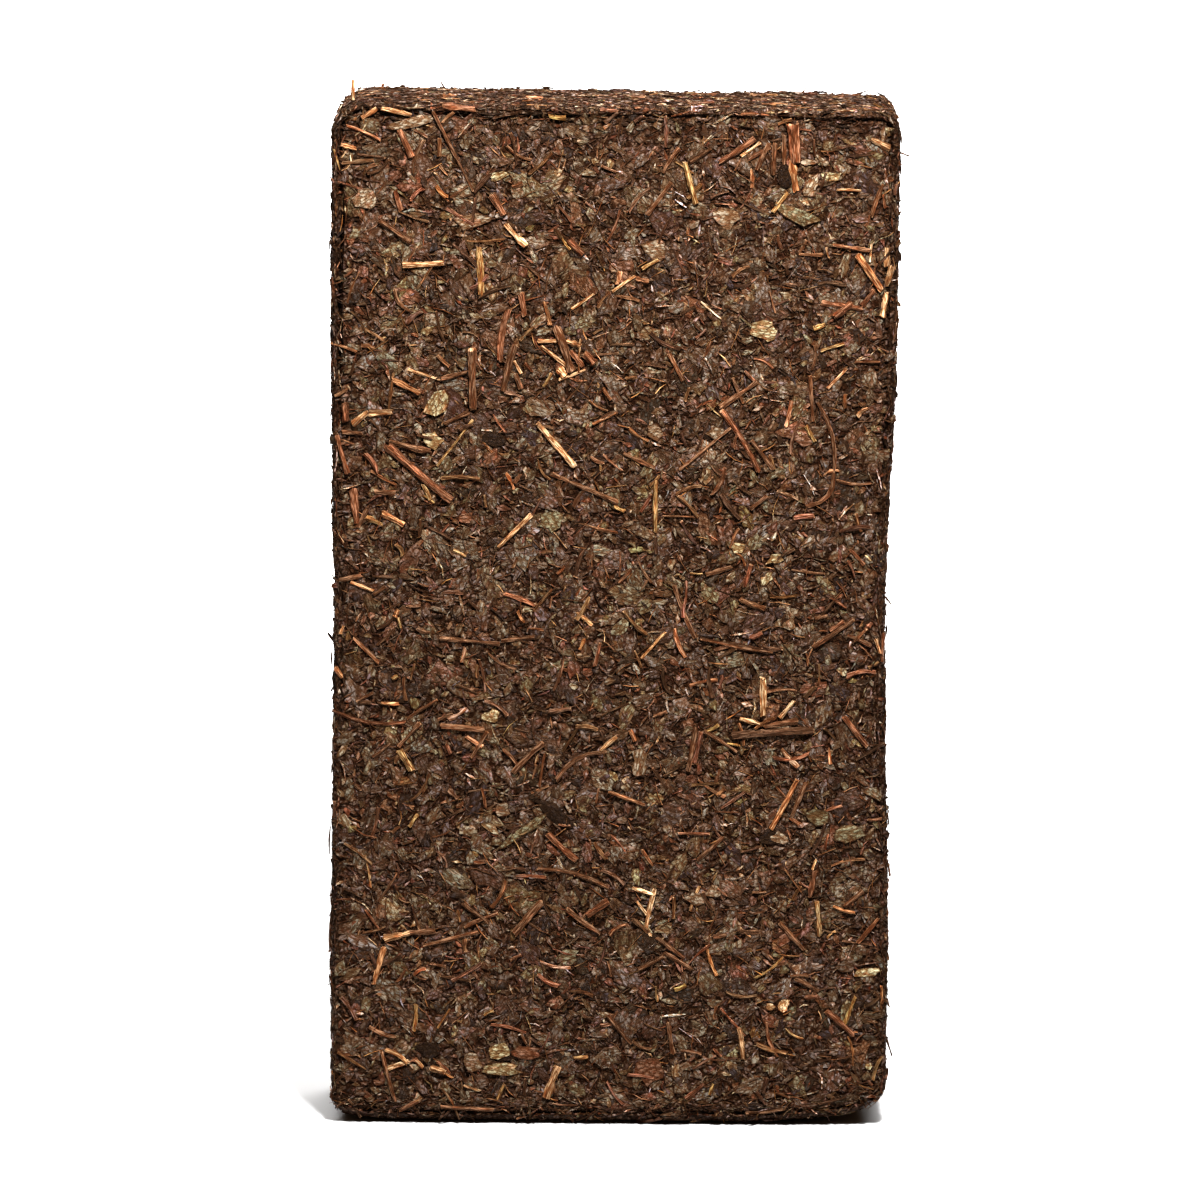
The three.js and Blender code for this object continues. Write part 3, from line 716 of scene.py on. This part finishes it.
# Stem ends over the outline in the photograph: pixels of both ends, the width, and the depth in millimetres

LOOSE_MARKS = {
    "pale": ((353, 80, 353, 100, 4, -20),),
    "red": ((383, 84, 381, 94, 3, 20),),
    "dark": (
        (328, 633, 337, 646, 2.5, -16), (331, 691, 338, 680, 2, -16), (909, 156, 896, 151, 2, -18),
        (900, 306, 893, 296, 3.5, -18), (891, 604, 883, 594, 2, -18), (892, 1056, 885, 1034, 2, -18),
        (441, 82, 447, 92, 2, 20), (806, 88, 800, 96, 2, 20),
    ),
}

# Flakes that stand out in the photograph: middle, length and breadth in pixels, and the turn in degrees

FLAKE_MARKS = {
    "yellow": (
        (498, 176, 19, 9, 25), (833, 177, 18, 8, 0), (765, 333, 19, 17, 0), (776, 559, 14, 9, 20),
        (738, 548, 12, 8, 0), (767, 580, 12, 8, 60), (491, 716, 18, 13, 0), (868, 972, 25, 8, 5),
        (500, 1052, 20, 12, 0), (499, 1069, 36, 12, 0), (438, 404, 22, 17, 70), (432, 439, 18, 14, 0),
    ),
    "tan": (
        (364, 198, 21, 18, 40), (471, 220, 28, 14, 10), (411, 122, 40, 9, 12), (808, 162, 13, 7, 0),
        (811, 187, 20, 15, 60), (725, 218, 22, 19, 0), (656, 251, 20, 18, 0), (716, 433, 16, 12, 0),
        (655, 432, 16, 12, 0), (639, 763, 24, 19, 80), (780, 838, 14, 10, 0), (695, 899, 16, 12, 0),
        (715, 891, 16, 12, 0), (502, 809, 14, 11, 0), (473, 1063, 18, 16, 0),
    ),
    "olive": (
        (798, 214, 40, 14, -20), (550, 521, 22, 19, 0), (522, 832, 46, 9, 38), (818, 818, 24, 15, 0),
        (849, 834, 30, 17, 20), (846, 1010, 20, 8, 80),
    ),
    "black": (
        (786, 177, 24, 12, 90), (493, 440, 17, 13, 0), (555, 813, 36, 13, -38), (769, 838, 17, 13, 0),
        (430, 1048, 20, 15, 0),
    ),
    "red": (
        (651, 1070, 24, 22, 0), (525, 1052, 26, 12, 0), (465, 517, 14, 12, 0),
    ),
    "cream": (
        (784, 1005, 13, 9, 80), (771, 1007, 9, 7, 0),
    ),
}

# The share of a stem's width, or of a flake's size, that shows between its corners
SEEN_SHARE = 0.82

# How many numbers mark a straight stem, and how far from the ends of the front a mark stays
STRAIGHT_MARK = 5
MARK_MARGIN = 1

# What is drawn for the marked stems and flakes
MARKED_STEM = {
    "flatness": (0.7, 0.95), "bend": 0.012, "twist": 0.3, "roll": 0.3, "rise": (0.15, 0.5), "lightness": 0.1,
}
MARKED_FLAKE = {"tilt": 0.02, "droop": 0.15, "crumple": 0.1, "rise": (0.45, 0.65), "lightness": 0.06}


def view_axes():
    """The view's directions to the right, up and forward."""
    forward = np.array((0, math.cos(VIEW_PITCH), -math.sin(VIEW_PITCH)))
    level_right = np.array((1.0, 0, 0))
    level_up = np.array((0, math.sin(VIEW_PITCH), math.cos(VIEW_PITCH)))
    right = math.cos(VIEW_ROLL) * level_right + math.sin(VIEW_ROLL) * level_up
    up = math.cos(VIEW_ROLL) * level_up - math.sin(VIEW_ROLL) * level_right
    return right, up, forward


def seen_at(pixels, depth):
    """Places that show at an array of pixels in the photograph, at a depth along Y."""
    right, up, forward = view_axes()
    share = (np.asarray(pixels, float) / FRAME_PIXELS - 0.5) * FRAME_WIDTH
    ray = forward * VIEW_DISTANCE + share[:, :1] * right - share[:, 1:] * up
    eye = AIM - forward * VIEW_DISTANCE
    reach = (depth - eye[1]) / ray[:, 1]
    return eye + reach[:, None] * ray


def on_front(pixels):
    """Places on the front face for an array of pixels in the photograph."""
    x, _, z = seen_at(pixels, -DEPTH / 2).T
    z = z - foot_lift(x, z) + top_drop(x, z)
    lift = FOOT_PROFILE[1][0]
    z = np.where(z < FOOT_REACH, (z - lift) / (1 - lift / FOOT_REACH), z)
    height = np.clip(z, MARK_MARGIN, HEIGHT - MARK_MARGIN)
    return np.stack((x / bow_share(x, z), height - HEIGHT / 2), axis=1)


def listed(groups, tints):
    """The marks of all the groups in one list, and the linear colour of each."""
    marks = [mark for group in groups.values() for mark in group]
    return marks, linear([tints[name] for name, group in groups.items() for _ in group])


def marked_stems(rng):
    """The stems that stand out in the photograph."""
    marks, colours = listed(STEM_MARKS, STEM_TINTS)
    count = len(marks)
    low = on_front([mark[:2] for mark in marks])
    high = on_front([mark[-3:-1] for mark in marks])
    passed = on_front([mark[2:4] if len(mark) > STRAIGHT_MARK else np.add(mark[:2], mark[2:4]) / 2
                       for mark in marks])
    width = np.array([mark[-1] for mark in marks]) * PIXEL / SEEN_SHARE
    chord = high - low
    length = np.hypot(*chord.T)
    middle = (low + high) / 2
    off = passed - middle
    bowed = (chord[:, 0] * off[:, 1] - chord[:, 1] * off[:, 0]) / length ** 2
    return {
        "middle": middle,
        "angle": np.arctan2(chord[:, 1], chord[:, 0]),
        "length": length,
        "half_width": width / 2,
        "half_thick": width / 2 * rng.uniform(*MARKED_STEM["flatness"], count),
        "bend": bowed + rng.normal(0, MARKED_STEM["bend"], count),
        "twist": rng.normal(0, MARKED_STEM["twist"], count),
        "roll": rng.normal(0, MARKED_STEM["roll"], count),
        "rise": rng.uniform(*MARKED_STEM["rise"], count),
        "slope": np.zeros(count),
        "tint": colours * np.exp(rng.normal(0, MARKED_STEM["lightness"], (count, 1))),
    }


def loose_ends(rng):
    """The stem ends that stick out over the brick's outline."""
    marks, colours = listed(LOOSE_MARKS, STEM_TINTS)
    count = len(marks)
    numbers = np.array(marks, float)
    width, depth = numbers[:, 4:].T
    low = seen_at(numbers[:, :2], depth)
    high = seen_at(numbers[:, 2:4], depth)
    straight = {name: np.zeros(count) for name in ("bend", "twist", "roll", "rise", "slope")}
    return {
        **straight,
        "low": low,
        "high": high,
        "out": np.broadcast_to(np.array(FACES["front"][2], float), (count, 3)),
        "length": np.linalg.norm(high - low, axis=1),
        "half_width": width * PIXEL / 2,
        "half_thick": width * PIXEL / 2 * rng.uniform(*MARKED_STEM["flatness"], count),
        "tint": colours,
    }


def marked_flakes(rng):
    """The flakes that stand out in the photograph."""
    marks, colours = listed(FLAKE_MARKS, FLAKE_TINTS)
    count = len(marks)
    numbers = np.array(marks, float)
    length, breadth = numbers[:, 2:4].T * PIXEL / SEEN_SHARE
    return {
        "middle": on_front(numbers[:, :2]),
        "length": length,
        "breadth": breadth,
        "turn": np.radians(numbers[:, 4]),
        "rise": rng.uniform(*MARKED_FLAKE["rise"], count),
        "tint": colours * np.exp(rng.normal(0, MARKED_FLAKE["lightness"], (count, 1))),
    }


# The pieces, one for each kind of thing


def flake_piece(name, material):
    """All the flakes of one kind, on every face."""
    kind = FLAKE_KINDS[name]
    triangles, chart = flake_triangles(kind["sides"], kind["rings"])
    shapes = []
    for face in FACES:
        rng = dice(name, face)
        shapes.append(flakes(face, kind, strewn_flakes(face, kind, rng), rng))
    if name == "large_flakes":
        rng = dice("marked", name)
        shapes.append(flakes("front", {**kind, **MARKED_FLAKE}, marked_flakes(rng), rng))
    return joined(name, shapes, triangles, chart, material)


def strewn_over(faces, word, kind):
    """Shapes of rods strewn over faces, at any angle on a broad one and along a narrow one."""
    shapes = []
    for face in faces:
        rng = dice(word, face)
        along = None if face in BROAD else np.pi / 2
        rod = strewn_rods(face, kind, strewn_places(face, kind, rng), along, rng)
        shapes.append(rods(face, kind, rod, rng))
    return shapes


def rod_piece(name, kind, shapes, material):
    """Shapes of rods as one piece."""
    triangles, chart = rod_triangles(kind["sides"], len(kind["stations"]))
    return joined(name, shapes, triangles, chart, material)


def shred_piece(material):
    """Crumpled shreds of leaf on the broad faces."""
    return rod_piece("leaf_shreds", SHRED_KIND, strewn_over(BROAD, "shreds", SHRED_KIND), material)


def fibre_piece(material):
    """Thin fibres on every face but the foot."""
    return rod_piece("fibres", FIBRE_KIND, strewn_over(SHOWN, "fibres", FIBRE_KIND), material)


# Edges of a broad face: the corner that each starts from, its direction and the direction inward
EDGES = {
    "left": ((-1, -1), (0, 1), (1, 0)),
    "right": ((1, -1), (0, 1), (-1, 0)),
    "top": ((-1, 1), (1, 0), (0, -1)),
    "foot": ((-1, -1), (1, 0), (0, 1)),
}


def edge_places(face, edge, kind, rng):
    """Places along an edge of a broad face, and the edge's direction."""
    corner, along, inward = np.array(EDGES[edge])
    half = np.array(face_half(face)[:2])
    length = 2 * along @ half
    count = round(kind["per_cm2"] * length * kind["reach"] / MM_PER_CM ** 2)
    forward = rng.uniform(0, length, (count, 1))
    inset = rng.uniform(0, kind["reach"], (count, 1))
    return corner * half + forward * along + inset * inward, math.atan2(along[1], along[0])


def layer_piece(material):
    """Edges of the pressed layers, which run along the narrow sides and the rims."""
    shapes = strewn_over(LAYERED, "layers", LAYER_KIND)
    for face, edge in itertools.product(BROAD, EDGES):
        rng = dice("rim", face, edge)
        kind = FOOT_EDGE_KIND if edge == "foot" else RIM_KIND
        places, along = edge_places(face, edge, kind, rng)
        shapes.append(rods(face, kind, strewn_rods(face, kind, places, along, rng), rng))
    return rod_piece("side_layers", LAYER_KIND, shapes, material)


def stem_piece(material):
    """Stems strewn over every face but the foot, and those that stand out in the photograph."""
    rng = dice("marked", "stems")
    shapes = [rods("front", STEM_KIND, marked_stems(rng), rng), rods(None, STEM_KIND, loose_ends(rng), rng)]
    return rod_piece("stems", STEM_KIND, shapes + strewn_over(SHOWN, "stems", STEM_KIND), material)


# The core: a closed lattice under the flakes

CORE_SPACING = 1.65
CORE_EDGE_LINES = np.array((0, 0.5, 1.0, 1.8, 2.5, 3.0, 3.5, 4.1, 4.8))
CORE_SINK = 0.4
CORE_LUMPS = ({"height": 0.2, "length": 3.6, "seed": 20}, {"height": 0.15, "length": 2.0, "seed": 21})
CORE_JITTER = {"along": 0.5, "height": 0.08, "from_edge": 5}
# The core's tints are the tea under the flakes, made darker as painted shade in the gaps between flakes,
# where the core shows
CORE_TINTS_WITH_GAP_SHADE = (((36, 21, 12), 0.4), ((54, 36, 24), 0.4), ((74, 54, 39), 0.2))
CHART_WIDTH = 500
CHART_PLACES = {
    "front": (2, 2), "back": (196, 2), "right": (390, 2), "left": (444, 2),
    "top": (2, 356), "foot": (56, 356),
}


def lattice_lines(half):
    """Places of the core's lines from edge to edge of a face, closer together along the edges."""
    inner = half - CORE_EDGE_LINES[-1]
    middle = np.linspace(-inner, inner, round(2 * inner / CORE_SPACING) + 1)[1:-1]
    return np.concatenate((CORE_EDGE_LINES - half, middle, half - CORE_EDGE_LINES[::-1]))


def core_points(plain):
    """The core's points, sunk under the flakes and crumpled."""
    rng = dice("core", "points")
    from_edges = np.sort(HALF - np.abs(plain - MIDDLE), axis=1)
    off_planes = np.abs(plain - MIDDLE) < HALF - TOLERANCE
    loose = off_planes & (from_edges[:, 1:2] > CORE_JITTER["from_edge"])
    moved = plain + np.where(loose, rng.uniform(-1, 1, plain.shape) * CORE_JITTER["along"], 0)
    place, out = pressed(moved)
    height = rng.normal(0, CORE_JITTER["height"], len(plain)) - CORE_SINK
    for lumps in CORE_LUMPS:
        height += smooth_noise(plain, lumps)
    points = place + out * height[:, None]
    points[:, 2] = np.maximum(points[:, 2], FLOOR_GAP)
    return points


def core_piece(material):
    """The pressed block under the flakes, as one closed lattice."""
    plain, corners, uv = [], [], []
    offset = 0
    for face in FACES:
        half_u, half_v, _ = face_half(face)
        u, v = np.meshgrid(lattice_lines(half_u), lattice_lines(half_v))
        index = np.arange(u.size).reshape(u.shape)
        a, b, c, d = index[:-1, :-1], index[:-1, 1:], index[1:, 1:], index[1:, :-1]
        halves = [np.stack(half, axis=2).reshape(-1, 3) for half in ((a, b, c), (a, c, d))]
        triangles = np.concatenate(halves)
        chart = np.stack((u.ravel() + half_u, v.ravel() + half_v), axis=1) + np.array(CHART_PLACES[face])
        plain.append(on_block(face, u.ravel(), v.ravel()))
        corners.append(triangles.ravel() + offset)
        uv.append(chart[triangles.ravel()] / CHART_WIDTH)
        offset += u.size
    plain, shared = np.unique(np.concatenate(plain).round(PLACE_DIGITS), axis=0, return_inverse=True)
    corners = shared.ravel()[np.concatenate(corners)]
    tint = drawn_tints(CORE_TINTS_WITH_GAP_SHADE, plain, dice("core"))
    return mesh_object("brick_core", core_points(plain), corners, np.concatenate(uv), tint, plain, material)


# Materials


def new_material(name):
    """A node material with its tree and its shader."""
    material = bpy.data.materials.new(name)
    material.use_nodes = True
    tree = material.node_tree
    return material, tree, tree.nodes["Principled BSDF"]


def add_node(tree, kind, inputs=None, **settings):
    """A node with its settings and its unlinked or linked inputs."""
    node = tree.nodes.new(kind)
    for key, value in settings.items():
        setattr(node, key, value)
    for key, value in (inputs or {}).items():
        if isinstance(value, bpy.types.NodeSocket):
            tree.links.new(value, node.inputs[key])
        else:
            node.inputs[key].default_value = value
    return node


def stretched(tree, value, source, target):
    """Numbers moved from one range to another."""
    limits = dict(zip(("From Min", "From Max", "To Min", "To Max"), (*source, *target)))
    return add_node(tree, "ShaderNodeMapRange", {"Value": value, **limits}).outputs["Result"]


def math_node(tree, operation, first, second):
    """The result of one step of arithmetic."""
    return add_node(tree, "ShaderNodeMath", {0: first, 1: second}, operation=operation).outputs["Value"]


def vector_node(tree, operation, first, second):
    """The result of one step of arithmetic with vectors."""
    node = add_node(tree, "ShaderNodeVectorMath", {0: first, 1: second}, operation=operation)
    return node.outputs["Vector"]


# Ranges of the noise and of the crumbs that are used, the hues, and what each part adds to the wrinkles
NOISE_DETAIL = 3.0
NOISE_RANGE = (0.3, 0.7)
# Distances from a crumb's middle over which it darkens towards its border, as painted shade in the cracks
# between crumbs, and over which the wrinkles sink
CELL_RANGE = (0.35, 0.6)
SHEEN_TINT = (1.0, 0.55, 0.3, 1)
LEAF_HUE = (0.86, 1.14, 1.57)
STEM_HUE = (0.93, 1.06, 1.16)
TO_RED = (0.25, -0.06, -0.2)
RED_CELLS = (0.78, 1.0)
BUMP_SHARES = {"edge": 0.5, "cell": 0.8, "noise": 0.6}
DRY_MATERIALS = {
    "pressed_leaf": {
        "stretch": (1.0, 1.0, 1.0),
        "crumbs": {"scale": 0.75, "wobble": 1.2, "range": (0.65, 1.3), "gap_shade": 0.45, "lightest": 1.35},
        "mottle": {"scale": 2.2, "range": (0.45, 1.55)},
        "surface": {"roughness": (0.75, 0.4), "bump": 0.45, "sheen": 0.25, "hue": LEAF_HUE},
    },
    "layer_edges": {
        "stretch": (1.8, 0.7, 1.0),
        "crumbs": {"scale": 0.9, "wobble": 0.8, "range": (0.35, 2.1), "gap_shade": 0.25, "lightest": 2.0},
        "mottle": {"scale": 1.2, "range": (0.6, 1.4)},
        "surface": {"roughness": (0.8, 0.45), "bump": 0.5, "sheen": 0.2, "hue": LEAF_HUE},
    },
    "stem_bark": {
        "stretch": (1.6, 0.22, 1.0),
        "crumbs": {"scale": 1.4, "wobble": 0.6, "range": (0.45, 1.8), "gap_shade": 0.4, "lightest": 1.6},
        "mottle": {"scale": 1.6, "range": (0.65, 1.35)},
        "surface": {"roughness": (0.7, 0.35), "bump": 0.4, "sheen": 0.35, "hue": STEM_HUE},
    },
    "pressed_core": {
        "stretch": (1.0, 1.0, 1.0),
        "crumbs": {"scale": 0.8, "wobble": 1.2, "range": (0.35, 2.2), "gap_shade": 0.3, "lightest": 2.0},
        "mottle": {"scale": 1.0, "range": (0.6, 1.4)},
        "surface": {"roughness": (0.8, 0.45), "bump": 0.8, "sheen": 0.15, "hue": LEAF_HUE},
    },
}


def dry_material(name, stretch, crumbs, mottle, surface):
    """Dry leaf or wood: its own colour in crumbs along its grain, with painted shade in the cracks between
    crumbs and a rough wrinkled surface.
    """
    material, tree, shader = new_material(name)
    tint = add_node(tree, "ShaderNodeAttribute", attribute_name="tint").outputs["Color"]
    grain = add_node(tree, "ShaderNodeAttribute", attribute_name="grain").outputs["Vector"]
    vector = vector_node(tree, "MULTIPLY", grain, stretch)
    inputs = {"Vector": vector, "Scale": mottle["scale"], "Detail": NOISE_DETAIL}
    noise = add_node(tree, "ShaderNodeTexNoise", inputs).outputs
    wobble = vector_node(tree, "MULTIPLY", noise["Color"], (crumbs["wobble"],) * 3)
    inputs = {"Vector": vector_node(tree, "ADD", vector, wobble), "Scale": crumbs["scale"]}
    cells = add_node(tree, "ShaderNodeTexVoronoi", inputs).outputs
    parts = add_node(tree, "ShaderNodeSeparateColor", {"Color": cells["Color"]}).outputs
    cell = parts["Red"]
    redness = stretched(tree, parts["Green"], RED_CELLS, (0, 1))
    hue = vector_node(tree, "ADD", vector_node(tree, "MULTIPLY", redness, TO_RED), surface["hue"])
    # Painted shade: each crumb's lightness falls towards its border, to the share given in its crumbs, as
    # shade in the cracks between crumbs; the border also feeds the bump
    edge = stretched(tree, cells["Distance"], CELL_RANGE, (1, 0))
    light = math_node(tree, "MULTIPLY", stretched(tree, cell, (0, 1), crumbs["range"]),
                      stretched(tree, edge, (0, 1), (crumbs["gap_shade"], 1)))
    mottled = stretched(tree, noise["Fac"], NOISE_RANGE, mottle["range"])
    light = math_node(tree, "MINIMUM", math_node(tree, "MULTIPLY", light, mottled), crumbs["lightest"])
    deep = vector_node(tree, "POWER", math_node(tree, "MINIMUM", light, 1.0), DEPTH_OF_COLOUR)
    shade = vector_node(tree, "MULTIPLY", deep, math_node(tree, "MAXIMUM", light, 1.0))
    tinted = vector_node(tree, "MULTIPLY", tint, vector_node(tree, "MULTIPLY", shade, hue))
    tree.links.new(tinted, shader.inputs["Base Color"])
    tree.links.new(stretched(tree, cell, (0, 1), surface["roughness"]), shader.inputs["Roughness"])
    height = 0.0
    for part, value in (("edge", edge), ("cell", cell), ("noise", noise["Fac"])):
        height = math_node(tree, "ADD", height, math_node(tree, "MULTIPLY", value, BUMP_SHARES[part]))
    inputs = {"Height": height, "Strength": 1.0, "Distance": surface["bump"] * MM}
    wrinkles = add_node(tree, "ShaderNodeBump", inputs).outputs["Normal"]
    tree.links.new(wrinkles, shader.inputs["Normal"])
    shader.inputs["Specular IOR Level"].default_value = surface["sheen"]
    shader.inputs["Specular Tint"].default_value = SHEEN_TINT
    return material


# The floor, the lights and the camera

FLOOR_SIZE_M = 60
FLOOR_TINT = (0.36, 0.36, 0.36)
FLOOR_ROUGHNESS = 0.9
WORLD_LIGHT = 0.1
WORLD_TINT = (1.0, 0.58, 0.33, 1)
KEY = {
    "place_m": (0.14, -0.58, 0.95), "aim_m": (0, -0.02, 0.16),
    "radius_m": 0.07, "cone": math.radians(80), "blend": 0.4, "watts": 175,
}
BACK = {
    "place_m": (0, 2.5, 2.0), "aim_m": (0, 2.5, 0),
    "size_m": (3, 4), "spread": math.radians(80), "watts": 370,
}


def floor_plane():
    """A pale plain floor."""
    half = FLOOR_SIZE_M / 2
    corners = [(-half, -half, 0), (half, -half, 0), (half, half, 0), (-half, half, 0)]
    mesh = bpy.data.meshes.new("floor")
    mesh.from_pydata(corners, [], [(0, 1, 2, 3)])
    floor = bpy.data.objects.new("floor", mesh)
    bpy.context.scene.collection.objects.link(floor)
    material, _, shader = new_material("pale_floor")
    shader.inputs["Base Color"].default_value = (*FLOOR_TINT, 1)
    shader.inputs["Roughness"].default_value = FLOOR_ROUGHNESS
    mesh.materials.append(material)


def add_lamp(name, kind, lamp):
    """A lamp of a kind at its place, turned to what it lights."""
    data = bpy.data.lights.new(name, kind)
    data.energy = lamp["watts"]
    thing = bpy.data.objects.new(name, data)
    thing.location = lamp["place_m"]
    thing.rotation_mode = "QUATERNION"
    thing.rotation_quaternion = (Vector(lamp["aim_m"]) - Vector(lamp["place_m"])).to_track_quat("-Z", "Y")
    bpy.context.scene.collection.objects.link(thing)
    return data


def lights():
    """A lamp above and in front, a wide one over the floor behind, and a pale surrounding."""
    key = add_lamp("key", "SPOT", KEY)
    key.spot_size = KEY["cone"]
    key.spot_blend = KEY["blend"]
    key.shadow_soft_size = KEY["radius_m"]
    back = add_lamp("back", "AREA", BACK)
    back.shape = "RECTANGLE"
    back.size, back.size_y = BACK["size_m"]
    back.spread = BACK["spread"]
    world = bpy.data.worlds.new("studio")
    world.use_nodes = True
    world.node_tree.nodes["Background"].inputs["Color"].default_value = WORLD_TINT
    world.node_tree.nodes["Background"].inputs["Strength"].default_value = WORLD_LIGHT
    bpy.context.scene.world = world
    bpy.context.scene.view_settings.view_transform = "Standard"
    bpy.context.scene.view_settings.look = "Medium High Contrast"


def view_camera():
    """The camera at the photograph's viewing angle."""
    right, up, forward = view_axes()
    data = bpy.data.cameras.new("view")
    data.sensor_width = SENSOR
    data.lens = SENSOR * VIEW_DISTANCE / FRAME_WIDTH
    data.clip_end = 2 * FLOOR_SIZE_M
    camera = bpy.data.objects.new("view", data)
    turn = Matrix((right, up, -forward)).transposed().to_4x4()
    place = (AIM - forward * VIEW_DISTANCE) * MM
    camera.matrix_world = Matrix.Translation(Vector(place)) @ turn
    bpy.context.scene.collection.objects.link(camera)
    bpy.context.scene.camera = camera


def build():
    """Make every piece, join each to the brick's body, hide the solid, and set up the floor, the lights and
    the camera.
    """
    materials = {name: dry_material(name, **parts) for name, parts in DRY_MATERIALS.items()}
    leaf = materials["pressed_leaf"]
    stem = materials["stem_bark"]
    core = core_piece(materials["pressed_core"])
    pieces = [core]
    pieces += [flake_piece(name, leaf) for name in FLAKE_KINDS]
    pieces += [shred_piece(leaf), layer_piece(materials["layer_edges"]), stem_piece(stem), fibre_piece(stem)]
    for piece in pieces:
        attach(piece, BODY)
    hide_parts(NODE)
    floor_plane()
    lights()
    view_camera()


build()
